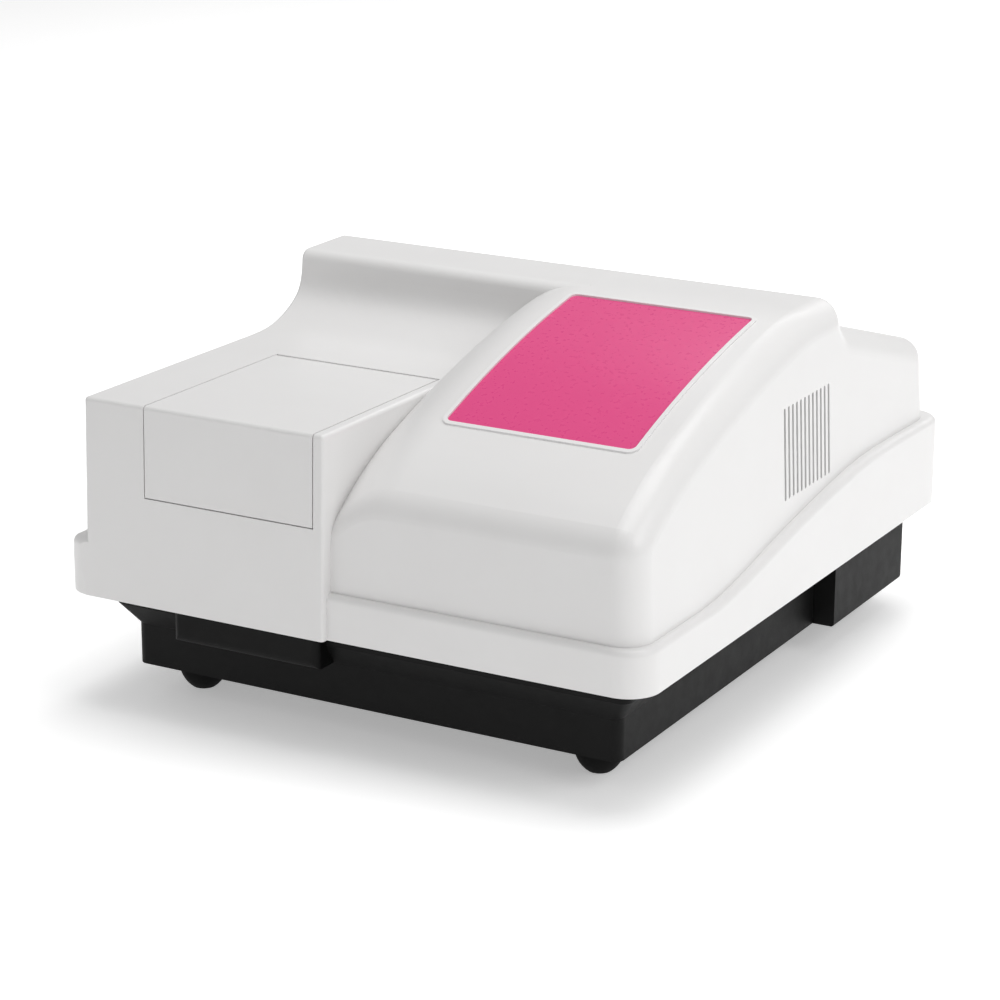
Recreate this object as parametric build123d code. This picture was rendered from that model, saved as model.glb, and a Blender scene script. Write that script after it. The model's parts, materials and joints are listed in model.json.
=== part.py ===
from build123d import *
import os
from math import asin, cos, degrees, radians, sin, sqrt

# Bench spectrophotometer with a sample bay on the left and a sloped screen
# console on the right.  Millimetres, +Z up, the user stands at -Y.  The origin
# is on the bench top, under the middle of the overall outline.

# ---------------------------------------------------------------- overall size
half_width = 245.0
front_y = -278.6
rear_y = 278.6
cover_bottom = 91.2
ridge_top = 297.3
skin = 3.0

# ------------------------------------------------------------------- cover
bay_left, bay_right = -221.3, -11.5
bay_top_front, bay_top_rear = 245.6, 243.4
bay_lean = 4.4
bay_side_lean = 0.8
bay_rim_radius, bay_edge_radius = 3.0, 2.5
cove_start_y, cove_foot_y, cove_foot_z = -60.0, 23.5, 281.0
ridge_front_y, ridge_back_y = 25.5, 91.1
console_front_y = -267.2
console_lean = 3.4
console_right_low, console_right_high = 240.4, 229.6
console_left, console_left_radius = -30.0, 66.0
nose_radius = 25.0
console_edge_radius = 22.0
crest_y = 42.7
crest_radius, crest_turn = 210.0, 9.1
screen_radius, screen_turn = 1050.0, 20.3
apron_radius, apron_turn = 290.0, 54.0
deck_start = (101.0, 274.0)
deck_end = (260.0, 227.0)
deck_radius = 12.0
ridge_front_radius, ridge_back_radius = 9.0, 8.0
cover_rear_y = 268.5
skirt_front_y = -272.7
skirt_shoulder = 5.0
left_flare_top = 137.0
left_flare_lean = 9.0
left_flare_radius, left_shoulder = 26.0, 8.0

# --------------------------------------------------------------------- lid
seam = 0.9
lid_left, lid_right = -166.5, -20.8
lid_bottom = 176.0
lid_rear_y = -95.3
barrel_radius = 3.0
hinge_pin_radius = 1.5
bore_clearance = 0.05
hinge_pin_reach = 10.0
hinge_skin = 1.3
hinge_block_width = 5.2

# ------------------------------------------------------------------- screen
screen_left, screen_right = 39.0, 192.0
screen_front_y, screen_rear_y = -189.0, 9.0
screen_corner = 5.0
frame_width = 3.4
frame_rise = 1.2

# --------------------------------------------------------------------- vents
vent_count = 12
vent_pitch = 7.36
vent_first_y = -21.5
vent_width = 3.2
vent_low, vent_high = 167.0, 238.5

# ---------------------------------------------------------------------- base
base_left, base_right = -209.6, 206.4
base_middle_x = (base_left + base_right) / 2
base_front_y, base_rear_y = -232.2, 262.0
base_bottom, ledge_z, flare_z, base_top = 24.7, 57.4, 75.0, 94.0
base_wall = 2.5
flare = 12.0
foot_radius_top, foot_radius_mid, foot_radius_low = 18.5, 16.6, 9.0
foot_offset, foot_front_y, foot_rear_y = 173.0, -194.0, 235.0
side_box_right, side_box_front_y = 224.8, 107.1
pan_left, pan_right, pan_front_y = -160.5, -31.5, -254.5
boss_x, boss_ys = 236.0, (-190.0, 190.0)
screw_r = 2.0
tray_floor = base_bottom + base_wall

# ---------------------------------------------------------------- rear panel
rear_opening = ((-195.0, 195.0), (30.0, base_top + 5))
panel_in_y, panel_out_y = 260.0, 262.0
mains_plate_right, data_plate_right = -82.0, -26.0
plate_seam = 0.4
inlet_x, inlet_z = -132.0, 57.0
switch_x, switch_z = -97.0, 57.0
rocker_y, rocker_tilt = 258.0, 8.0
usb_x, usb_z = -54.0, 56.0
fan_x, fan_z, fan_half = 140.0, 58.0, 25.0

# --------------------------------------------------------------- electronics
board_x, board_y, board_z = (-165.0, 40.0), (-30.0, 180.0), (38.0, 39.6)

# ------------------------------------------------------------- optical layout
bench_low, bench_high = 86.0, 94.0
beam_y, beam_z = -190.0, 140.0
case_left, case_right = 2.0, 125.0
case_front_y, case_rear_y = -212.0, 42.0
case_top = 182.0
grating_x, grating_y = 96.0, -75.0
lamp_x, lamp_y = 179.0, 18.0
lamp_house_x, lamp_house_y, lamp_house_top = (158.0, 198.0), (-20.0, 58.0), 200.0
wheel_x, wheel_y = (129.0, 132.0), lamp_y + 26
filter_count = 6

# ----------------------------------------------------------- sample changer
well_left, well_right = -160.0, -27.0
well_front_y, well_rear_y = -266.0, -104.0
well_wall = 2.0
well_low, well_rim = 94.0, 236.5
well_front_rim = 172.0
cell_count = 4
cell_pitch = 18.0
cell_slot = 12.7
cell_floor = 125.0
carriage_low, carriage_high = 103.0, 150.0
carriage_x = -93.5
carriage_half_width = 19.0
carriage_travel = cell_pitch * (cell_count - 1)
screw_radius, screw_rear_y = 3.0, -78.5
rod_radius = 3.0
rod_offset = 13.0
rod_z = 110.0
running_gap = 0.05


# ------------------------------------------------------------ small helpers
def block(x, y, z):
    """Box given by its low and high coordinates along each axis."""
    centre = Pos((x[0] + x[1]) / 2, (y[0] + y[1]) / 2, (z[0] + z[1]) / 2)
    return centre * Box(x[1] - x[0], y[1] - y[0], z[1] - z[0])


def rod_x(x, y, z, radius):
    """Round bar along X between two x values."""
    turned = Rot(0, 90, 0) * Cylinder(radius, x[1] - x[0])
    return Pos((x[0] + x[1]) / 2, y, z) * turned


def rod_y(x, y, z, radius):
    """Round bar along Y between two y values."""
    turned = Rot(90, 0, 0) * Cylinder(radius, y[1] - y[0])
    return Pos(x, (y[0] + y[1]) / 2, z) * turned


def rod_z_axis(x, y, z, radius):
    """Round bar along Z between two z values."""
    return Pos(x, y, (z[0] + z[1]) / 2) * Cylinder(radius, z[1] - z[0])


def side_profile(face, x):
    """Extrude a sketch drawn in (y, z) between two x values."""
    placed = Plane(origin=(x[0], 0, 0), x_dir=(0, 1, 0), z_dir=(1, 0, 0)) * face
    return extrude(placed, x[1] - x[0])


def polygon_face(points):
    return make_face(Polyline(*points, close=True))


def save(node, shape):
    export_step(shape, "parts/" + node + ".step")


def group(shapes):
    return Compound(children=list(shapes))


def vertex_near(face, y, z):
    return face.vertices().sort_by_distance((y, z, 0))[0]


# ------------------------------------------------------------ slope geometry
# The console's top falls from the crest in three arcs, each tangent to the
# next: a short crest, the long shallow arc that carries the screen, and the
# apron that steepens down to the nose.
def arc_end(centre, radius, turn):
    """Point on an arc whose tangent is turned down by this many degrees."""
    return (centre[0] - radius * sin(radians(turn)), centre[1] + radius * cos(radians(turn)))


def next_centre(centre, radius, turn, next_radius):
    """Centre of an arc that carries on tangent to the arc before it."""
    return arc_end(centre, radius - next_radius, turn)


crest_centre = (crest_y, ridge_top - crest_radius)
screen_centre = next_centre(crest_centre, crest_radius, crest_turn, screen_radius)
apron_centre = next_centre(screen_centre, screen_radius, screen_turn, apron_radius)
slope_arcs = (
    (crest_centre, crest_radius, 0.0, crest_turn),
    (screen_centre, screen_radius, crest_turn, screen_turn),
    (apron_centre, apron_radius, screen_turn, apron_turn),
)


def slope_edges(depth=0.0):
    """The three arcs in (y, z), at a depth under the console's top surface."""
    edges = []
    for centre, radius, start, end in slope_arcs:
        turns = (start, (start + end) / 2, end)
        edges.append(ThreePointArc(*[arc_end(centre, radius - depth, turn) for turn in turns]))
    return edges


def slope_foot(depth=0.0):
    """Front end of the apron arc, which lies ahead of the console's front."""
    return arc_end(apron_centre, apron_radius - depth, apron_turn)


def screen_z(y):
    return screen_centre[1] + sqrt(screen_radius**2 - (y - screen_centre[0]) ** 2)


def under_screen(depth):
    """Everything below a surface at this depth under the screen's arc."""
    return rod_x((-260, 260), *screen_centre, screen_radius - depth)


def slope_layer(outline, low_depth, high_depth):
    """The part of a plan outline between two depths under the screen's arc."""
    tall = Pos(0, 0, 150) * extrude(outline, 200)
    return (tall & under_screen(high_depth)) - under_screen(low_depth)


# -------------------------------------------------------------------- cover
def bay_profile():
    top_front = (front_y + bay_lean, bay_top_front)
    lines = [
        Line((front_y, cover_bottom), top_front),
        Line(top_front, (cove_start_y, bay_top_rear)),
        Spline(
            (cove_start_y, bay_top_rear),
            (-16.6, 246.8),
            (11.2, 259.3),
            (cove_foot_y, cove_foot_z),
            tangents=[(1, 0), (0.12, 1)],
        ),
        Line((cove_foot_y, cove_foot_z), (ridge_front_y, ridge_top)),
        Line((ridge_front_y, ridge_top), (ridge_back_y, ridge_top)),
        Line((ridge_back_y, ridge_top), deck_start),
        Line(deck_start, deck_end),
        Line(deck_end, (cover_rear_y, cover_bottom)),
        Line((cover_rear_y, cover_bottom), (front_y, cover_bottom)),
    ]
    face = make_face(lines)
    face = fillet(vertex_near(face, *top_front), bay_rim_radius)
    face = fillet(vertex_near(face, ridge_front_y, ridge_top), ridge_front_radius)
    face = fillet(vertex_near(face, ridge_back_y, ridge_top), ridge_back_radius)
    face = fillet(vertex_near(face, *deck_start), deck_radius)
    return fillet(vertex_near(face, *deck_end), deck_radius)


def round_nose(face, inset):
    """Trim a side outline at the console's leaning front and round its nose."""
    lean = console_lean / (ridge_top - cover_bottom)
    low, high = cover_bottom - 20, ridge_top
    foot = (console_front_y + inset - 20 * lean, low)
    top = (console_front_y + inset + console_lean, high)
    face = face - polygon_face([foot, top, (-400, high), (-400, low)])
    nose = face.vertices().filter_by(lambda v: v.Y > cover_bottom + 1).sort_by(Axis.X)[0]
    return fillet(nose, nose_radius - inset)


def console_profile(inset=0.0):
    """Side outline of the console, or of the hollow one inset inside it."""
    front = slope_foot(inset)
    foot_z = cover_bottom - 4 * inset
    ridge_end = (ridge_back_y - inset, ridge_top - inset)
    valley = (deck_start[0] - inset, deck_start[1] - inset)
    tail = (deck_end[0] - inset, deck_end[1] - inset)
    lines = slope_edges(inset) + [
        Line((crest_y, ridge_top - inset), ridge_end),
        Line(ridge_end, valley),
        Line(valley, tail),
        Line(tail, (cover_rear_y - inset, foot_z)),
        Line((cover_rear_y - inset, foot_z), (front[0], foot_z)),
        Line((front[0], foot_z), front),
    ]
    face = make_face(lines)
    face = fillet(vertex_near(face, *ridge_end), ridge_back_radius - inset)
    face = fillet(vertex_near(face, *valley), deck_radius + inset)
    face = fillet(vertex_near(face, *tail), deck_radius - inset)
    return round_nose(face, inset)


def shoulder_profile(depth, inset):
    """Side outline of the console's left shoulder, at a depth under its top."""
    front = slope_foot(depth)
    foot_z = cover_bottom - 4 * inset
    back_y = crest_y + 20
    lines = slope_edges(depth) + [
        Line((crest_y, ridge_top - depth), (back_y, ridge_top - depth)),
        Line((back_y, ridge_top - depth), (back_y, foot_z)),
        Line((back_y, foot_z), (front[0], foot_z)),
        Line((front[0], foot_z), front),
    ]
    return round_nose(make_face(lines), inset)


def console_shoulder(inset=0.0):
    """The wide round shoulder that turns down into the sample bay's wall."""
    middle_x = console_left + console_left_radius
    radius = console_left_radius - inset
    sections = []
    for turn in (0, 12, 24, 36, 48, 58, 68):
        x = middle_x - radius * sin(radians(turn))
        depth = console_left_radius - radius * cos(radians(turn))
        plane = Plane(origin=(x, 0, 0), x_dir=(0, 1, 0), z_dir=(1, 0, 0))
        sections.append(plane * shoulder_profile(depth, inset))
    return loft(sections)


def leaning_block(left_low, left_high, right_low, right_high):
    """Tall block whose left and right walls lean inward towards the top."""
    low, high = cover_bottom - 20, ridge_top + 10
    outline = polygon_face([(left_low, low), (right_low, low), (right_high, high), (left_high, high)])
    placed = Plane(origin=(0, rear_y + 20, 0), x_dir=(1, 0, 0), z_dir=(0, -1, 0)) * outline
    return extrude(placed, 2 * rear_y + 40)


def bay_solid():
    long_body = side_profile(bay_profile(), (bay_left - 2, console_left + console_left_radius + 4))
    body = long_body & leaning_block(bay_left, bay_left + bay_side_lean, 60, 60)
    front_right = block((bay_right, 60), (-400, cove_start_y), (0, 400))
    body = body - front_right
    left_rim = body.edges().filter_by(lambda e: e.center().X < bay_left + bay_side_lean + 1)
    left_rim = left_rim.filter_by(lambda e: e.center().Z > cover_bottom + 1)
    body = fillet(left_rim, bay_rim_radius)
    right_rim = body.edges().filter_by(lambda e: abs(e.center().X - bay_right) < 0.1)
    right_rim = right_rim.filter_by(lambda e: e.center().Z > 100 and e.center().Y < cove_start_y - 1)
    return fillet(right_rim, bay_edge_radius)


def console_solid(inset=0.0):
    left = console_left + console_left_radius
    body = side_profile(console_profile(inset), (left, 260))
    body = body & leaning_block(left, left, console_right_low - inset, console_right_high - inset)
    right_rim = body.faces().sort_by(Axis.X)[-1].edges()
    rims = [e for e in right_rim if e.center().Z > cover_bottom + 1]
    body = fillet(rims, console_edge_radius - inset)
    return body + console_shoulder(inset)


def skirt_top(lift=0.0):
    """Closed (y, z) area under the belt line, which rises towards the back."""
    return make_face(
        [
            Line((-300, 126 + lift), (-175, 126 + lift)),
            Spline(
                (-175, 126 + lift),
                (-58, 141 + lift),
                (60, 159 + lift * 0.3),
                (150, 165.5),
                tangents=[(1, 0), (1, 0)],
            ),
            Line((150, 165.5), (300, 163)),
            Line((300, 163), (300, cover_bottom)),
            Line((300, cover_bottom), (-300, cover_bottom)),
            Line((-300, cover_bottom), (-300, 126 + lift)),
        ]
    )


def rounded_plan(x, y, radius):
    centre = Pos((x[0] + x[1]) / 2, (y[0] + y[1]) / 2)
    return centre * RectangleRounded(x[1] - x[0], y[1] - y[0], radius)


def left_wedge(inset=0.0):
    """What lies outside the skirt's left side, which leans in towards its top."""
    rate = left_flare_lean / (left_flare_top - cover_bottom)
    low, high = cover_bottom - 20, 168
    low_x = -half_width + inset + (low - cover_bottom) * rate
    high_x = -half_width + inset + (high - cover_bottom) * rate
    outline = polygon_face([(-300, low), (low_x, low), (high_x, high), (-300, high)])
    placed = Plane(origin=(0, rear_y + 20, 0), x_dir=(1, 0, 0), z_dir=(0, -1, 0)) * outline
    return extrude(placed, 2 * rear_y + 40)


def skirt_solid():
    plan = rounded_plan((-half_width, half_width), (skirt_front_y, rear_y), 25)
    upright = Pos(0, 0, cover_bottom) * extrude(plan, 100)
    body = upright & side_profile(skirt_top(), (-260, 260))
    top_edges = [
        e for e in body.edges() if e.center().Z > 120 and abs(e.tangent_at(0.5).Z) < 0.7
    ]
    return fillet(top_edges, skirt_shoulder)


def left_flare_solid():
    """The skirt's wider left end, leaning in towards its shoulder."""
    plan = rounded_plan((-half_width, bay_left + 70), (front_y, rear_y), left_flare_radius)
    upright = Pos(0, 0, cover_bottom) * extrude(plan, 100)
    body = upright & side_profile(skirt_top(left_flare_top - 126), (-260, 260))
    body = body - block((bay_left + 6, 300), (-300, 300), (0, 300))
    body = body - left_wedge()
    top_front = front_y + bay_lean
    front_foot, front_top = (front_y, cover_bottom), (top_front, bay_top_front)
    in_front = polygon_face([front_foot, front_top, (-300, bay_top_front), (-300, cover_bottom)])
    body = body - side_profile(in_front, (-300, 0))
    top_edges = [
        e
        for e in body.edges()
        if e.center().Z > 115 and abs(e.tangent_at(0.5).Z) < 0.7 and e.center().X < bay_left - 1
    ]
    return fillet(top_edges, left_shoulder)


def cover_outer():
    body = skirt_solid() + console_solid()
    body = body + bay_solid()
    body = body + left_flare_solid()
    return body - left_wedge()


def cover_hollow():
    """The space inside the cover, one skin thickness in."""
    low = cover_bottom - 4 * skin
    bay_area = polygon_face(
        [
            (front_y + skin, low),
            (front_y + bay_lean + skin, bay_top_front - skin - 0.1),
            (cove_start_y, bay_top_rear - skin),
            (-12, 244),
            (14, 256),
            (24, 270),
            (29, 285),
            (38, ridge_top - skin),
            (ridge_back_y - 4, ridge_top - skin),
            (deck_start[0] - 5, deck_start[1] - skin),
            (deck_end[0] - 9, deck_end[1] - skin),
            (deck_end[0] - skin, deck_end[1] - 11),
            (cover_rear_y - skin, low),
        ]
    )
    bay = side_profile(bay_area, (bay_left + skin + bay_side_lean, bay_right - skin))
    link_end = console_left + console_left_radius + 2
    link = side_profile(bay_area, (bay_right - skin - 1, link_end))
    link = link - block((-100, 100), (-400, cove_start_y + skin), (0, 400))
    skirt_room = block(
        (-half_width + skin, half_width - skin),
        (skirt_front_y + skin, rear_y - skin),
        (low, 118),
    )
    skirt_room = fillet(skirt_room.edges().filter_by(Axis.Z), 25 - skin)
    skirt_room = skirt_room - left_wedge(skin)
    return skirt_room + console_solid(skin) + bay + link


def lid_box(gap=0.0):
    """Space that the lid takes, grown by the seam where the cover is cut."""
    return block(
        (lid_left - gap, lid_right + gap), (-400, lid_rear_y + gap), (lid_bottom - gap, 270)
    )


hinge_y = lid_rear_y - barrel_radius
lid_top_slope = (bay_top_rear - bay_top_front) / (cove_start_y - front_y - bay_lean)
hinge_z = bay_top_rear + lid_top_slope * (hinge_y - cove_start_y) - barrel_radius
hinge_blocks_x = (
    (lid_left - seam - hinge_block_width, lid_left - seam),
    (lid_right + seam, lid_right + seam + hinge_block_width),
)


def hinge_block(x, grow=0.0):
    top = hinge_z + barrel_radius - hinge_skin
    return block(
        (x[0] - grow, x[1] + grow), (hinge_y - 5.5 - grow, hinge_y + 5.5 + grow), (230, top)
    )


def vent_slots():
    slots = []
    middle = (vent_low + vent_high) / 2
    for i in range(vent_count):
        y = vent_first_y + vent_pitch * i
        slot = SlotOverall(vent_high - vent_low, vent_width)
        placed = Plane(origin=(225, y, middle), x_dir=(0, 0, 1), z_dir=(1, 0, 0)) * slot
        slots.append(extrude(placed, 30))
    return slots


def screen_plan(grow=0.0):
    x = (screen_left - grow, screen_right + grow)
    y = (screen_front_y - grow, screen_rear_y + grow)
    return rounded_plan(x, y, screen_corner + grow)


def cover_boss_places():
    return [(x, y) for x in (-boss_x, boss_x) for y in boss_ys]


def make_cover(outer, hollow):
    body = outer - hollow
    for x, y in cover_boss_places():
        boss = rod_z_axis(x, y, (base_top, 121), 6) & outer
        body = body + boss - rod_z_axis(x, y, (base_top, 110), screw_r)
    body = body - lid_box(seam)
    body = body - rod_x((lid_left - seam, lid_right + seam), hinge_y, hinge_z, barrel_radius + 0.6)
    for x in hinge_blocks_x:
        body = body - hinge_block(x)
    body = body - Pos(0, 0, 200) * extrude(screen_plan(frame_width), 150)
    for slot in vent_slots():
        body = body - slot
    return body


def make_lid(outer, hollow):
    body = (outer & lid_box()) - hollow
    barrel = rod_x((lid_left, lid_right), hinge_y, hinge_z, barrel_radius)
    body = body - block((lid_left - 1, lid_right + 1), (hinge_y, 0), (0, 400))
    body = body + barrel
    bore = hinge_pin_radius + bore_clearance
    for x0, x1 in ((lid_left, lid_left + 11), (lid_right - 11, lid_right)):
        body = body - rod_x((x0, x1), hinge_y, hinge_z, bore)
    return body


def make_hinge_pins():
    pieces = []
    left, right = hinge_blocks_x
    left_pin_x = (left[1] - 1, left[1] + seam + hinge_pin_reach)
    left_pin = rod_x(left_pin_x, hinge_y, hinge_z, hinge_pin_radius)
    right_pin_x = (right[0] - seam - hinge_pin_reach, right[0] + 1)
    right_pin = rod_x(right_pin_x, hinge_y, hinge_z, hinge_pin_radius)
    pieces.append(hinge_block(left) + left_pin)
    pieces.append(hinge_block(right) + right_pin)
    return group(pieces)


# ------------------------------------------------------- base, feet and rear
def base_plan(grow, inset=0.0):
    """Plan outline of the tray; the flare widens the front and the sides only."""
    x = (base_left - grow + inset, base_right + grow - inset)
    return rounded_plan(x, (base_front_y - grow + inset, base_rear_y - inset), 8)


def tray_shape(inset=0.0):
    low = base_bottom + inset
    lower = Pos(0, 0, low) * extrude(base_plan(0, inset), ledge_z - low)
    narrow = Pos(0, 0, ledge_z) * base_plan(0, inset)
    wide = Pos(0, 0, flare_z) * base_plan(flare, inset)
    upper = Pos(0, 0, flare_z) * extrude(base_plan(flare, inset), base_top - flare_z + inset)
    return lower + loft([narrow, wide]) + upper


def make_base_tray():
    body = tray_shape() - tray_shape(base_wall)
    body = body - block(rear_opening[0], (base_rear_y - 5, base_rear_y + 5), rear_opening[1])
    for x, y in cover_boss_places():
        right_ear, left_ear = (base_right + flare - 1, boss_x + 5), (-boss_x - 5, base_left - flare + 1)
        ear_x = right_ear if x > 0 else left_ear
        ear = block(ear_x, (y - 9, y + 9), (base_top - 3, base_top))
        body = body + ear - rod_z_axis(x, y, (80, 100), screw_r + 0.2)
    for x, y in foot_places():
        body = body - rod_z_axis(x, y, (20, 30), screw_r)
    return body


def foot_places():
    columns = (base_middle_x - foot_offset, base_middle_x + foot_offset)
    return [(x, y) for x in columns for y in (foot_front_y, foot_rear_y)]


def make_foot(x, y):
    outline = make_face(
        [
            Line((0, 0), (foot_radius_low, 0)),
            ThreePointArc((foot_radius_low, 0), (foot_radius_mid, 9), (foot_radius_top, base_bottom)),
            Line((foot_radius_top, base_bottom), (0, base_bottom)),
            Line((0, base_bottom), (0, 0)),
        ]
    )
    turned = revolve(Plane.XZ * outline, Axis.Z)
    turned = turned - rod_z_axis(0, 0, (-1, 12), 6) - rod_z_axis(0, 0, (0, 30), screw_r + 0.2)
    return Pos(x, y, 0) * turned


def make_foot_screw(x, y):
    head = rod_z_axis(x, y, (8.5, 12), 4.5)
    return head + rod_z_axis(x, y, (12, tray_floor + 4), screw_r) - rod_z_axis(x, y, (8, 10.5), 1.5)


def make_cover_screw(x, y):
    head = rod_z_axis(x, y, (base_top - 6.5, base_top - 3), 4)
    return head + rod_z_axis(x, y, (base_top - 3, 108), screw_r)


def make_side_housing():
    x = (base_right, side_box_right)
    y = (side_box_front_y, base_rear_y - 6)
    body = block(x, y, (base_bottom, 88))
    body = fillet(body.edges().filter_by(Axis.Z).sort_by(Axis.Y)[-1:], 12)
    body = fillet(body.faces().sort_by(Axis.X)[-1].edges().sort_by(Axis.Z)[:1], 2.5)
    hollow_x = (x[0] - 1, x[1] - base_wall)
    hollow_y = (y[0] + base_wall, y[1] - 12)
    hollow = block(hollow_x, hollow_y, (base_bottom + base_wall, 90))
    return body - hollow - tray_shape()


def make_sample_pan():
    body = block((pan_left, pan_right), (pan_front_y, base_front_y + 6), (ledge_z, 89))
    front = body.faces().sort_by(Axis.Y)[0]
    lower_front = front.edges().sort_by(Axis.Z)[0]
    uprights = front.edges().filter_by(Axis.Z)
    body = fillet([lower_front] + list(uprights), 6)
    hollow_x = (pan_left + 8, pan_right - 8)
    hollow = block(hollow_x, (pan_front_y + 8, base_front_y + 10), (ledge_z + 4, 95))
    return body - hollow - tray_shape()


def make_rear_panel():
    plate_top = 90.0
    left, right = rear_opening[0]
    spans = ((left, mains_plate_right), (mains_plate_right, data_plate_right), (data_plate_right, right))
    through = (panel_in_y - 1, panel_out_y + 1)
    cuts = block((inlet_x - 14, inlet_x + 14), through, (inlet_z - 10.5, inlet_z + 10.5))
    cuts = cuts + block((switch_x - 7, switch_x + 7), through, (switch_z - 11, switch_z + 11))
    cuts = cuts + block((usb_x - 6, usb_x + 6), through, (usb_z - 5.5, usb_z + 5.5))
    for i in range(-3, 4):
        reach = sqrt(21.0**2 - (i * 6.0) ** 2)
        slot = block((fan_x - reach, fan_x + reach), through, (fan_z + i * 6 - 1.5, fan_z + i * 6 + 1.5))
        cuts = cuts + slot
    plates = []
    for start, end in spans:
        across = (start + plate_seam / 2, end - plate_seam / 2)
        plates.append(block(across, (panel_in_y, panel_out_y), (rear_opening[1][0], plate_top)) - cuts)
    return group(plates)


def make_mains_inlet():
    flange = block((inlet_x - 24, inlet_x + 24), (panel_out_y, 264), (inlet_z - 13, inlet_z + 13))
    flange = fillet(flange.edges().filter_by(Axis.Y), 4)
    shell = block((inlet_x - 14, inlet_x + 14), (240, 264), (inlet_z - 10.5, inlet_z + 10.5))
    cavity = block((inlet_x - 12.2, inlet_x + 12.2), (247, 265), (inlet_z - 8.4, inlet_z + 8.4))
    cavity = chamfer(cavity.edges().filter_by(Axis.Y).sort_by(Axis.Z)[-2:], 4)
    return flange + shell - cavity


def make_inlet_pins():
    places = ((-7, -1.5), (0, 2.5), (7, -1.5))
    return group(
        block((inlet_x + x - 1, inlet_x + x + 1), (247, 258), (inlet_z + z - 2, inlet_z + z + 2))
        for x, z in places
    )


def make_usb_port():
    shell = block((usb_x - 6, usb_x + 6), (244, 263), (usb_z - 5.5, usb_z + 5.5))
    cavity = block((usb_x - 4.2, usb_x + 4.2), (252, 264), (usb_z - 3.9, usb_z + 3.9))
    return shell - cavity


def make_power_switch():
    shell = block((switch_x - 7, switch_x + 7), (247, 262), (switch_z - 11, switch_z + 11))
    flange = block((switch_x - 8.5, switch_x + 8.5), (262, 263.5), (switch_z - 12.5, switch_z + 12.5))
    cavity = block((switch_x - 5.5, switch_x + 5.5), (251.5, 264), (switch_z - 9.6, switch_z + 9.6))
    axle = rod_x((switch_x - 6.6, switch_x + 6.6), rocker_y, switch_z, hinge_pin_radius + bore_clearance)
    return shell + flange - cavity - axle


def make_power_rocker():
    outline = polygon_face([(-3.5, -4), (-3.5, 4), (4.4, 8.0), (3.2, 0), (4.4, -8.0)])
    body = Rot(rocker_tilt, 0, 0) * side_profile(outline, (-5.2, 5.2))
    body = body + rod_x((-6.3, 6.3), 0, 0, hinge_pin_radius)
    return Pos(switch_x, rocker_y, switch_z) * body


def make_fan_housing():
    across = (fan_x - fan_half, fan_x + fan_half)
    upright = (fan_z - fan_half, fan_z + fan_half)
    body = block(across, (245, panel_in_y), upright)
    body = body - rod_y(fan_x, (248, 261), fan_z, 23.2)
    ports = rod_y(fan_x, (244, 249), fan_z, 23.2) - rod_y(fan_x, (243, 250), fan_z, 10)
    for i in range(3):
        strut = Rot(0, 120 * i, 0) * block((-2, 2), (243, 250), (0, 25))
        ports = ports - Pos(fan_x, 0, fan_z) * strut
    return body - ports - rod_y(fan_x, (244, 249), fan_z, 1.5 + bore_clearance)


def make_fan_rotor():
    rotor = rod_y(0, (248.6, 258.6), 0, 9.5) + rod_y(0, (246, 249), 0, 1.5)
    for i in range(7):
        blade = Pos(0, 253.6, 15) * Rot(0, 0, 35) * Box(14, 1.4, 14)
        rotor = rotor + Rot(0, 360 / 7 * i, 0) * blade
    inside = rod_y(0, (245, 259), 0, 22.4)
    return Pos(fan_x, 0, fan_z) * (rotor & inside)


# ---------------------------------------------------------------- electronics


def make_board_components():
    layout = (
        (-120, 120, 30, 30, 4),
        (-60, 120, 22, 22, 3),
        (-20, 60, 34, 16, 8),
        (-130, 40, 16, 50, 10),
        (-70, 20, 24, 24, 4),
        (0, 140, 26, 36, 14),
        (-100, 0, 40, 10, 9),
    )
    top = board_z[1]
    return group(
        block((x - w / 2, x + w / 2), (y - d / 2, y + d / 2), (top, top + h)) for x, y, w, d, h in layout
    )


def make_board_standoffs():
    places = [(x, y) for x in (board_x[0] + 6, board_x[1] - 6) for y in (-22, 75, 172)]
    return group(rod_z_axis(x, y, (tray_floor, board_z[0]), 3.5) for x, y in places)


def make_power_supply():
    body = block((90, 195), (105, 225), (tray_floor, 72))
    body = body - block((92, 193), (107, 223), (tray_floor + 2, 70))
    for i in range(9):
        y = 121 + 11 * i
        body = body - block((105, 180), (y - 2, y + 2), (68, 73))
    return body


# ------------------------------------------------------------------- optics
post_places = [(x, y) for x in (-180, 180) for y in (-180, 85)]


def make_optical_bench():
    body = block((-198, 198), (-224, 100), (bench_low, bench_high))
    return body - rod_z_axis(grating_x, grating_y, (80, 100), 4)


def make_monochromator_case():
    x, y = (case_left, case_right), (case_front_y, case_rear_y)
    body = block(x, y, (bench_high, case_top))
    body = fillet(body.edges().filter_by(Axis.Z), 5)
    body = body - block((x[0] + 4, x[1] - 4), (y[0] + 4, y[1] - 4), (bench_high + 4, case_top + 1))
    body = body - rod_z_axis(grating_x, grating_y, (90, 99), 5)
    body = body - rod_x((x[1] - 5, x[1] + 1), lamp_y, beam_z, 4)
    return body - rod_x((x[0] - 1, x[0] + 5), beam_y, beam_z, 6)


def make_monochromator_lid():
    plate = rounded_plan((case_left, case_right), (case_front_y, case_rear_y), 5)
    return Pos(0, 0, case_top) * extrude(plate, 3)


def make_slit(x, y):
    plate = block((x, x + 1.5), (y - 10, y + 10), (beam_z - 12, beam_z + 12))
    return plate - block((x - 1, x + 3), (y - 0.5, y + 0.5), (beam_z - 5, beam_z + 5))


mirror_layout = ((25, 0, -8), (25, -140, 8), (104, -190, 180))


def make_mirror_mount(x, y, turn):
    plate = Box(8, 34, case_top - bench_high - 20)
    low = bench_high + 4
    plate = Pos(-10, 0, low + (case_top - bench_high - 20) / 2) * plate
    return Pos(x, y, 0) * Rot(0, 0, turn) * plate


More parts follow.
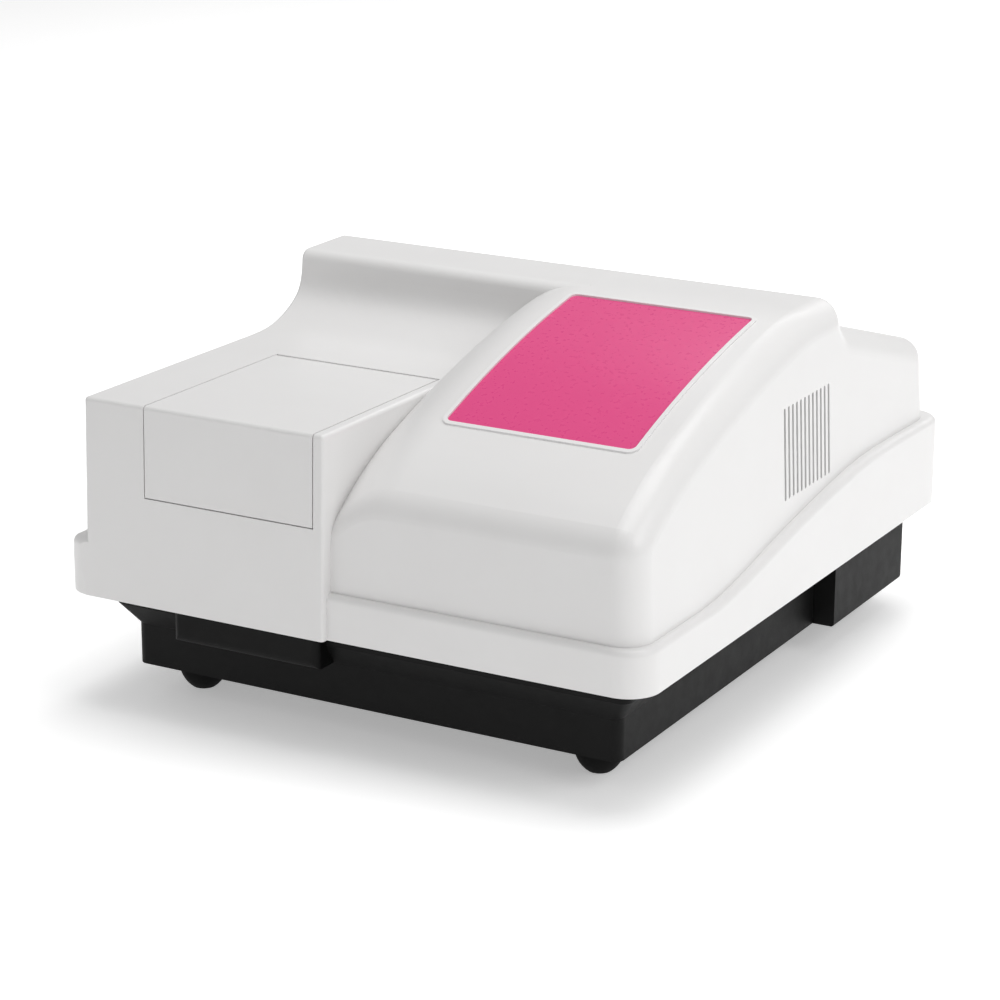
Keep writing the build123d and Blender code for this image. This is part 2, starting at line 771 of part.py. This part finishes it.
def make_mirror(x, y, turn):
    disc = rod_x((-6, 2), 0, beam_z, 16)
    bowl = Pos(2 + 78, 0, beam_z) * Sphere(80)
    return Pos(x, y, 0) * Rot(0, 0, turn) * (disc - bowl)


def make_grating_table():
    shaft = rod_z_axis(0, 0, (82.5, 108), 3)
    table = rod_z_axis(0, 0, (106, 112), 18)
    back = Pos(-9, 0, 0) * block((-3, 3), (-16, 16), (112, 158))
    return Pos(grating_x, grating_y, 0) * (shaft + table + back)


def make_grating():
    plate = block((-6, 0), (-15, 15), (beam_z - 15, beam_z + 15))
    return Pos(grating_x, grating_y, 0) * plate


def make_grating_motor():
    body = Pos(grating_x, grating_y, 0) * block((-18, 18), (-18, 18), (54, bench_low))
    body = chamfer(body.edges().filter_by(Axis.Z), 4)
    return body - rod_z_axis(grating_x, grating_y, (82, 87), 3 + running_gap)


def make_lamp_house():
    body = block(lamp_house_x, lamp_house_y, (bench_high, lamp_house_top))
    inner_x = (lamp_house_x[0] + 2.5, lamp_house_x[1] - 2.5)
    inner_y = (lamp_house_y[0] + 2.5, lamp_house_y[1] - 2.5)
    body = body - block(inner_x, inner_y, (bench_high + 2.5, lamp_house_top - 2.5))
    body = body - rod_x((lamp_house_x[0] - 1, lamp_house_x[0] + 3), lamp_y, beam_z, 7)
    for i in range(6):
        y = lamp_house_y[0] + 12 + 11 * i
        body = body - block((lamp_house_x[1] - 4, lamp_house_x[1] + 1), (y - 2.5, y + 2.5), (110, 185))
        roof = (lamp_house_top - 4, lamp_house_top + 1)
        body = body - block((inner_x[0] + 4, inner_x[1] - 4), (y - 2.5, y + 2.5), roof)
    return body


def make_lamp():
    bulb = rod_z_axis(lamp_x, lamp_y, (116, 146), 6)
    return bulb + Pos(lamp_x, lamp_y, 146) * Sphere(6)


def make_lamp_socket():
    return block((lamp_x - 9, lamp_x + 9), (lamp_y - 9, lamp_y + 9), (bench_high + 2.5, 116))


def make_condenser_mirror():
    disc = rod_x((188, 195.5), 0, 0, 15)
    bowl = Pos(151.5, 0, 0) * Rot(0, 90, 0) * Sphere(40)
    return Pos(0, lamp_y, beam_z) * (disc - bowl)


def tube_x(x, y, outer_radius, inner_radius):
    return rod_x(x, y, beam_z, outer_radius) - rod_x((x[0] - 1, x[1] + 1), y, beam_z, inner_radius)


def make_filter_wheel():
    body = rod_x(wheel_x, wheel_y, beam_z, 33) + rod_x((127, 135.5), wheel_y, beam_z, 8)
    body = body + rod_x((135, 139.5), wheel_y, beam_z, 2.5)
    for y, z in filter_places():
        body = body - rod_x((wheel_x[0] - 1, wheel_x[1] + 1), y, z, 8)
    return body


def filter_places():
    spots = [Vector(-26, 0).rotate(Axis.Z, 360 / filter_count * i) for i in range(filter_count)]
    return [(wheel_y + spot.X, beam_z + spot.Y) for spot in spots]


def make_filters():
    return group(rod_x((wheel_x[0] + 0.5, wheel_x[1] - 0.5), y, z, 8) for y, z in filter_places())


def make_filter_motor():
    body = block((136, 156), (wheel_y - 14, wheel_y + 14), (beam_z - 14, beam_z + 14))
    body = chamfer(body.edges().filter_by(Axis.X), 3)
    return body - rod_x((135, 140), wheel_y, beam_z, 2.5 + running_gap)


# ------------------------------------------------------------ sample changer
def cell_ys():
    return [beam_y - cell_pitch * i for i in range(cell_count)]


def make_sample_well():
    x, y = (well_left, well_right), (well_front_y, well_rear_y)
    body = block(x, y, (well_low, well_rim))
    rim = block((lid_left, lid_right), (well_front_y, well_rear_y - 4), (well_rim - 2, well_rim))
    lip = block((lid_left, lid_right), (-272, well_front_y), (well_front_rim - 2, well_front_rim))
    inside_x = (x[0] + well_wall, x[1] - well_wall)
    inside = block(inside_x, (y[0] + well_wall, y[1] - well_wall), (well_low + well_wall, 300))
    open_front = block(inside_x, (-300, y[0] + 5), (well_front_rim, 300))
    body = body + rim + lip - inside - open_front
    body = body - rod_x((x[0] - 1, x[1] + 1), beam_y, beam_z, 7)
    body = body - rod_y(carriage_x, (y[1] - 5, y[1] + 1), rod_z, 4)
    return body


def make_light_seal():
    low, high = well_rim, 240.2
    y = (well_front_y + 2, well_rear_y - 5)
    strips = ((lid_left + 0.5, lid_left + 4.5), (lid_right - 4.5, lid_right - 0.5))
    return group(block(x, y, (low, high)) for x in strips)


def make_well_windows():
    return group(
        rod_x((x, x + well_wall), beam_y, beam_z, 7) for x in (well_left, well_right - well_wall)
    )


def make_carriage():
    ys = cell_ys()
    x = (carriage_x - carriage_half_width, carriage_x + carriage_half_width)
    body = block(x, (ys[-1] - 9.5, ys[0] + 9.5), (carriage_low, carriage_high))
    body = chamfer(body.faces().sort_by(Axis.Z)[-1].edges(), 1)
    half = cell_slot / 2
    for y in ys:
        slot_x = (carriage_x - half, carriage_x + half)
        body = body - block(slot_x, (y - half, y + half), (cell_floor, carriage_high + 1))
        body = body - rod_x((x[0] - 1, x[1] + 1), y, beam_z, 4)
    for offset, radius in ((-rod_offset, rod_radius), (0, screw_radius), (rod_offset, rod_radius)):
        bore = rod_y(carriage_x + offset, (ys[-1] - 20, ys[0] + 20), rod_z, radius + running_gap)
        body = body - bore
    return body


def make_carriage_rods():
    y = (well_front_y + well_wall, well_rear_y - well_wall)
    return group(rod_y(carriage_x + side * rod_offset, y, rod_z, rod_radius) for side in (-1, 1))


def make_screw_bearing():
    y = (well_front_y + well_wall, well_front_y + well_wall + 5)
    bore = rod_y(carriage_x, (y[0] - 1, y[1] + 1), rod_z, screw_radius + running_gap)
    return rod_y(carriage_x, y, rod_z, 6) - bore


def make_lead_screw():
    return rod_y(carriage_x, (well_front_y + well_wall + 0.5, screw_rear_y), rod_z, screw_radius)


def make_coupler():
    return rod_y(carriage_x, (-100, -86), rod_z, 7) - rod_y(carriage_x, (-101, -85), rod_z, screw_radius)


def make_changer_motor():
    body = block((carriage_x - 16, carriage_x + 16), (-83, -48), (bench_high, 2 * rod_z - bench_high))
    body = chamfer(body.edges().filter_by(Axis.Y), 3)
    return body - rod_y(carriage_x, (-84, -78), rod_z, screw_radius + running_gap)


def make_detector_block():
    body = block((-198, -170), (beam_y - 18, beam_y + 18), (bench_high, beam_z + 20))
    return body - rod_x((-194, -169), beam_y, beam_z, 6)


# ------------------------------------------------------------------- screen
def make_screen_frame():
    outline = screen_plan(frame_width) - screen_plan()
    return slope_layer(outline, 4.0, -frame_rise)


def make_screen_window():
    return slope_layer(screen_plan(-0.1), 3.0, 0.2)


screen_mid = ((screen_left + screen_right) / 2, (screen_front_y + screen_rear_y) / 2)
screen_lean = degrees(asin((screen_centre[0] - screen_mid[1]) / screen_radius))


def display_box(x, along, depth):
    """Box lying under the screen: across, along the slope, and depth below it."""
    middle = Pos(screen_mid[0], screen_mid[1], screen_z(screen_mid[1])) * Rot(screen_lean, 0, 0)
    return middle * block(x, along, (-depth[1], -depth[0]))


def make_display_module():
    return display_box((-74, 74), (-92, 92), (13, 23))


def make_display_brackets():
    pieces = []
    for side in (-1, 1):
        x = (74, 79) if side > 0 else (-79, -74)
        strip = display_box(x, (-75, 75), (-5, 21))
        pieces.append(strip & under_screen(4.05))
    return group(pieces)


# -------------------------------------------------------------- all the parts
os.makedirs("parts", exist_ok=True)
outer = cover_outer()
hollow = cover_hollow()

save("top_cover", make_cover(outer, hollow))
save("sample_lid", make_lid(outer, hollow))
save("lid_hinge_pins", make_hinge_pins())

save("base_tray", make_base_tray())
save("rubber_feet", group(make_foot(x, y) for x, y in foot_places()))
save("foot_screws", group(make_foot_screw(x, y) for x, y in foot_places()))
save("cover_screws", group(make_cover_screw(x, y) for x, y in cover_boss_places()))
save("side_housing", make_side_housing())
save("sample_bay_pan", make_sample_pan())
save("rear_panel", make_rear_panel())
save("mains_inlet", make_mains_inlet())
save("inlet_pins", make_inlet_pins())
save("power_switch", make_power_switch())
save("power_rocker", make_power_rocker())
save("usb_port", make_usb_port())
save("fan_housing", make_fan_housing())
save("fan_rotor", make_fan_rotor())

save("main_board", block(board_x, board_y, board_z))
save("board_components", make_board_components())
save("board_standoffs", make_board_standoffs())
save("power_supply", make_power_supply())

save("optical_bench", make_optical_bench())
save("bench_posts", group(rod_z_axis(x, y, (tray_floor, bench_low - 6), 6) for x, y in post_places))
save("bench_dampers", group(rod_z_axis(x, y, (bench_low - 6, bench_low), 9) for x, y in post_places))
save("monochromator_case", make_monochromator_case())
save("monochromator_lid", make_monochromator_lid())
save("slit_plates", group([make_slit(case_left + 4, beam_y), make_slit(case_right - 5.5, lamp_y)]))
save("mirror_mounts", group(make_mirror_mount(*place) for place in mirror_layout))
save("mirrors", group(make_mirror(*place) for place in mirror_layout))
save("grating_table", make_grating_table())
save("diffraction_grating", make_grating())
save("grating_motor", make_grating_motor())
save("lamp_house", make_lamp_house())
save("lamp_socket", make_lamp_socket())
save("halogen_lamp", make_lamp())
save("condenser_mirror", make_condenser_mirror())
save("source_tube", tube_x((133.5, lamp_house_x[0]), lamp_y, 8, 6))
save("filter_wheel", make_filter_wheel())
save("wheel_filters", make_filters())
save("filter_motor", make_filter_motor())
save("filter_motor_bracket", block((138, 154), (wheel_y - 10, wheel_y + 10), (bench_high, beam_z - 14)))

save("sample_well", make_sample_well())
save("light_seal", make_light_seal())
save("well_windows", make_well_windows())
save("cell_carriage", make_carriage())
save("carriage_rods", make_carriage_rods())
save("lead_screw", make_lead_screw())
save("screw_coupler", make_coupler())
save("screw_bearing", make_screw_bearing())
save("changer_motor", make_changer_motor())
save("beam_tube", tube_x((well_right, case_left), beam_y, 9, 6))
save("detector_tube", tube_x((-170, well_left), beam_y, 9, 6))
save("detector_lens", rod_x((-168, -164), beam_y, beam_z, 6))
save("detector_block", make_detector_block())
save("detector_board", block((-199.6, -198), (beam_y - 26, beam_y + 26), (100, 168)))

save("screen_frame", make_screen_frame())
save("screen_window", make_screen_window())
save("display_module", make_display_module())
save("display_brackets", make_display_brackets())
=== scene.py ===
import json
import math

import bpy
from mathutils import Matrix, Vector

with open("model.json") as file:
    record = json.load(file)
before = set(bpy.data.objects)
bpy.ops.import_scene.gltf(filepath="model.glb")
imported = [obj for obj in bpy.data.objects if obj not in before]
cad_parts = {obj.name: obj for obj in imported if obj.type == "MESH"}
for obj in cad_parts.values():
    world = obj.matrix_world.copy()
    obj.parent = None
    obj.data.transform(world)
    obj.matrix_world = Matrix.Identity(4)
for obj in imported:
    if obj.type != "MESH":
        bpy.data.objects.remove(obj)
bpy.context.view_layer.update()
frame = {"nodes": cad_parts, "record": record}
nodes = frame["nodes"]
micron = 0.000001

# ---------------------------------------------------------------- camera
camera_place = Vector((1.13826, -2.08266, 0.87579))
camera_turn = math.radians(29.086)
camera_drop = math.radians(17.56)
camera_roll = math.radians(0.25)
focal_length = 113.18
sensor_width = 36.0

# ------------------------------------------------- studio: metres and watts
white_light = (1.0, 1.0, 1.0)
world_strength = 0.36
floor_size = 12.0
floor_colour = (0.94, 0.94, 0.94)
floor_glow = 0.36

# name, place, point it aims at, size, power
lights = (
    ("key", (2.6, -0.2, 1.9), (0, 0, 0.15), (1.8, 1.6), 23),
    ("top", (0.2, 0.3, 2.8), (0, 0, 0.2), (2.0, 2.0), 41),
    ("backdrop", (0.0, 2.6, 1.6), (-1.0, 3.0, 0.0), (3.0, 1.0), 30),
)


# ============================================================ node helpers
class Shader:
    """A material and the few calls that build its node tree."""

    def __init__(self, name):
        self.material = bpy.data.materials.new(name)
        self.material.use_nodes = True
        self.tree = self.material.node_tree
        self.surface = self.tree.nodes["Principled BSDF"]
        self.place = self.add("ShaderNodeTexCoord").outputs["Object"]

    def add(self, kind, **settings):
        node = self.tree.nodes.new(kind)
        for key, value in settings.items():
            setattr(node, key, value)
        return node

    def link(self, source, target):
        self.tree.links.new(source, target)

    def set(self, **values):
        for key, value in values.items():
            self.surface.inputs[key.replace("_", " ")].default_value = value

    def scaled(self, stretch):
        """The object's own coordinates, stretched along each axis."""
        mapping = self.add("ShaderNodeMapping")
        mapping.inputs["Scale"].default_value = stretch
        self.link(self.place, mapping.inputs["Vector"])
        return mapping.outputs["Vector"]

    def noise(self, scale, detail=4.0, roughness=0.55, place=None):
        node = self.add("ShaderNodeTexNoise")
        node.inputs["Scale"].default_value = scale
        node.inputs["Detail"].default_value = detail
        node.inputs["Roughness"].default_value = roughness
        self.link(place or self.place, node.inputs["Vector"])
        return node.outputs["Fac"]

    def cells(self, scale):
        node = self.add("ShaderNodeTexVoronoi")
        node.inputs["Scale"].default_value = scale
        self.link(self.place, node.inputs["Vector"])
        return node.outputs["Distance"]

    def spread(self, value, low, high, to_low, to_high):
        node = self.add("ShaderNodeMapRange")
        limits = {"From Min": low, "From Max": high, "To Min": to_low, "To Max": to_high}
        for key, number in limits.items():
            node.inputs[key].default_value = number
        self.link(value, node.inputs["Value"])
        return node.outputs["Result"]

    def blend(self, factor, first, second):
        node = self.add("ShaderNodeMix", data_type="RGBA")
        node.inputs["A"].default_value = (*first, 1)
        node.inputs["B"].default_value = (*second, 1)
        self.link(factor, node.inputs["Factor"])
        return node.outputs["Result"]

    def combine(self, first, second, share):
        """Weighted sum of two heights."""
        node = self.add("ShaderNodeMath", operation="MULTIPLY_ADD")
        self.link(second, node.inputs[0])
        node.inputs[1].default_value = share
        self.link(first, node.inputs[2])
        return node.outputs["Value"]

    def colour(self, factor, first, second):
        self.link(self.blend(factor, first, second), self.surface.inputs["Base Color"])

    def rough(self, factor, low, high):
        self.link(self.spread(factor, 0.15, 0.85, low, high), self.surface.inputs["Roughness"])

    def bump(self, height, distance, strength):
        node = self.add("ShaderNodeBump")
        node.inputs["Distance"].default_value = distance
        node.inputs["Strength"].default_value = strength
        self.link(height, node.inputs["Height"])
        self.link(node.outputs["Normal"], self.surface.inputs["Normal"])


# ================================================================ materials
def moulded_white(name, first, second, gloss):
    """White painted moulding: a faint orange peel under a satin coat."""
    shader = Shader(name)
    cloud = shader.noise(14, 3)
    grain = shader.noise(1500, 2)
    peel = shader.noise(330, 2)
    shader.colour(cloud, first, second)
    shader.rough(shader.noise(60, 4), gloss - 0.04, gloss + 0.05)
    shader.bump(shader.combine(peel, grain, 0.5), 30 * micron, 0.6)
    shader.set(IOR=1.5, Coat_Weight=0.12, Coat_Roughness=0.18)
    return shader.material


def textured_black(name, tone, gloss, grain_size):
    """Black plastic or paint with a fine spark-eroded texture."""
    shader = Shader(name)
    cloud = shader.noise(22, 4)
    grain = shader.cells(1.0 / grain_size)
    lighter = tuple(value * 1.5 + 0.001 for value in tone)
    shader.colour(cloud, tone, lighter)
    shader.rough(shader.noise(90, 3), gloss - 0.05, gloss + 0.07)
    shader.bump(shader.combine(grain, shader.noise(3.0 / grain_size, 2), 0.6), 60 * micron, 0.7)
    shader.set(Specular_IOR_Level=0.14)
    return shader.material


def rubber(name):
    """Matt black rubber or foam."""
    shader = Shader(name)
    shader.colour(shader.noise(40, 5), (0.004, 0.004, 0.004), (0.009, 0.009, 0.009))
    shader.rough(shader.noise(150, 4), 0.6, 0.8)
    shader.bump(shader.noise(1800, 3), 60 * micron, 0.6)
    shader.set(Specular_IOR_Level=0.1)
    return shader.material


def screen_film():
    """Magenta polyester film over the screen, with a satin hard coat."""
    shader = Shader("screen_film")
    shader.colour(shader.noise(420, 3), (0.75, 0.057, 0.232), (0.79, 0.063, 0.248))
    shader.rough(shader.noise(260, 3), 0.25, 0.32)
    shader.set(IOR=1.45, Coat_Weight=0.1, Coat_Roughness=0.2)
    return shader.material


def metal(name, tone, gloss, stretch=(1, 1, 1), grain=400.0, depth=20 * micron):
    """Bare or plated metal; a stretched place gives brushed or turned lines."""
    shader = Shader(name)
    place = shader.scaled(stretch)
    lines = shader.noise(grain, 5, 0.6, place)
    darker = tuple(value * 0.8 for value in tone)
    shader.colour(lines, darker, tone)
    shader.rough(lines, gloss - 0.06, gloss + 0.1)
    shader.bump(lines, depth, 0.6)
    shader.set(Metallic=1.0)
    return shader.material


def clear_glass(name, tint):
    """Polished quartz or coloured glass."""
    shader = Shader(name)
    shader.colour(shader.noise(30, 2), tint, tuple(min(1.0, v * 1.03) for v in tint))
    shader.rough(shader.noise(60, 2), 0.01, 0.03)
    shader.set(IOR=1.46, Transmission_Weight=1.0)
    return shader.material


def mirror_coat():
    """Coated optical surface."""
    shader = Shader("mirror_coat")
    shader.colour(shader.noise(30, 2), (0.86, 0.87, 0.89), (0.9, 0.91, 0.93))
    shader.rough(shader.noise(80, 2), 0.02, 0.05)
    shader.set(Metallic=1.0)
    return shader.material


def fired_ceramic(name, first, second, gloss):
    """Fired ceramic: matt, with a fine grain."""
    shader = Shader(name)
    shader.colour(shader.noise(50, 4), first, second)
    shader.rough(shader.noise(120, 3), gloss - 0.05, gloss + 0.08)
    shader.bump(shader.noise(900, 3), 40 * micron, 0.5)
    return shader.material


def circuit_board():
    """Green solder mask over a faint grid of copper tracks."""
    shader = Shader("circuit_board")
    tracks = shader.add("ShaderNodeTexBrick")
    tracks.inputs["Scale"].default_value = 110.0
    tracks.inputs["Mortar Size"].default_value = 0.06
    shader.link(shader.place, tracks.inputs["Vector"])
    shader.colour(tracks.outputs["Fac"], (0.012, 0.11, 0.045), (0.03, 0.2, 0.085))
    shader.rough(shader.noise(60, 3), 0.28, 0.4)
    shader.bump(tracks.outputs["Fac"], 30 * micron, 0.6)
    return shader.material


def dress(node, material):
    """Give the whole of a CAD node one material."""
    mesh = nodes[node].data
    mesh.materials.clear()
    mesh.materials.append(material)
    for polygon in mesh.polygons:
        polygon.material_index = 0


white = moulded_white("cover_white", (0.80, 0.79, 0.785), (0.83, 0.825, 0.82), 0.36)
frame_white = moulded_white("frame_white", (0.83, 0.82, 0.82), (0.86, 0.855, 0.85), 0.32)
tray_black = textured_black("tray_black", (0.0035, 0.0035, 0.0035), 0.5, 0.0009)
part_black = textured_black("part_black", (0.014, 0.014, 0.015), 0.4, 0.0006)
powder_black = textured_black("powder_black", (0.016, 0.016, 0.018), 0.5, 0.0008)
anodised = textured_black("anodised", (0.018, 0.018, 0.022), 0.34, 0.0005)
rubber_black = rubber("rubber_black")
steel = metal("plated_steel", (0.62, 0.62, 0.6), 0.3, (1, 1, 12))
ground_steel = metal("ground_steel", (0.72, 0.72, 0.73), 0.16, (1, 40, 1), 300, 10 * micron)
cast_aluminium = metal("cast_aluminium", (0.6, 0.6, 0.61), 0.46, (1, 1, 1), 900, 60 * micron)
brass = metal("brass", (0.76, 0.55, 0.24), 0.26, (1, 1, 1), 600)
glass = clear_glass("quartz", (0.96, 0.98, 0.98))
filter_glass = clear_glass("filter_glass", (0.55, 0.78, 0.5))
coating = mirror_coat()
ceramic = fired_ceramic("ceramic", (0.72, 0.7, 0.64), (0.8, 0.78, 0.72), 0.6)
board_green = circuit_board()

slot_materials = {
    "cover_white": white,
    "lid_white": white,
    "base_black": tray_black,
    "rubber_black": rubber_black,
    "screen_magenta": screen_film(),
    "frame_white": frame_white,
    "panel_black": powder_black,
    "black_plastic": part_black,
    "steel": steel,
    "bright_steel": ground_steel,
    "aluminium_cast": cast_aluminium,
    "anodised_black": anodised,
    "brass": brass,
    "glass_clear": glass,
    "filter_glass": filter_glass,
    "mirror": coating,
    "ceramic": ceramic,
    "board_green": board_green,
    "foam_black": rubber_black,
}

for entry in frame["record"]["subparts"]:
    dress(entry["node"], slot_materials[entry["material_slot"]])


# ============================================================ studio
def make_floor():
    mesh = bpy.data.meshes.new("floor")
    half = floor_size / 2
    corners = [(-half, -half, 0), (half, -half, 0), (half, half, 0), (-half, half, 0)]
    mesh.from_pydata(corners, [], [(0, 1, 2, 3)])
    floor = bpy.data.objects.new("floor", mesh)
    bpy.context.scene.collection.objects.link(floor)
    shader = Shader("floor")
    shader.colour(shader.noise(3, 2), floor_colour, tuple(v * 1.01 for v in floor_colour))
    shader.rough(shader.noise(20, 2), 0.6, 0.7)
    shader.set(Emission_Color=(1, 1, 1, 1), Emission_Strength=floor_glow)
    mesh.materials.append(shader.material)


def soft_light(name, place, aim, size, power):
    lamp = bpy.data.lights.new(name, "AREA")
    lamp.shape = "RECTANGLE"
    lamp.size, lamp.size_y = size
    lamp.energy = power
    lamp.color = white_light
    holder = bpy.data.objects.new(name, lamp)
    bpy.context.scene.collection.objects.link(holder)
    direction = Vector(aim) - Vector(place)
    turned = direction.to_track_quat("-Z", "Y").to_matrix().to_4x4()
    holder.matrix_world = Matrix.Translation(place) @ turned


def make_world():
    world = bpy.data.worlds.new("studio")
    world.use_nodes = True
    background = world.node_tree.nodes["Background"]
    background.inputs["Color"].default_value = (1, 1, 1, 1)
    background.inputs["Strength"].default_value = world_strength
    bpy.context.scene.world = world


def make_camera():
    data = bpy.data.cameras.new("camera")
    data.lens = focal_length
    data.sensor_width = sensor_width
    data.clip_end = 50.0
    camera = bpy.data.objects.new("camera", data)
    bpy.context.scene.collection.objects.link(camera)
    turn, drop, roll = camera_turn, camera_drop, camera_roll
    ahead = Vector((-math.sin(turn) * math.cos(drop), math.cos(turn) * math.cos(drop), -math.sin(drop)))
    level = Vector((math.cos(turn), math.sin(turn), 0))
    upward = level.cross(ahead)
    right = math.cos(roll) * level + math.sin(roll) * upward
    up = -math.sin(roll) * level + math.cos(roll) * upward
    turned = Matrix((right, up, -ahead)).transposed()
    camera.matrix_world = Matrix.Translation(camera_place) @ turned.to_4x4()
    bpy.context.scene.camera = camera


make_floor()
make_world()
for light in lights:
    soft_light(*light)
make_camera()
bpy.context.scene.view_settings.view_transform = "Standard"
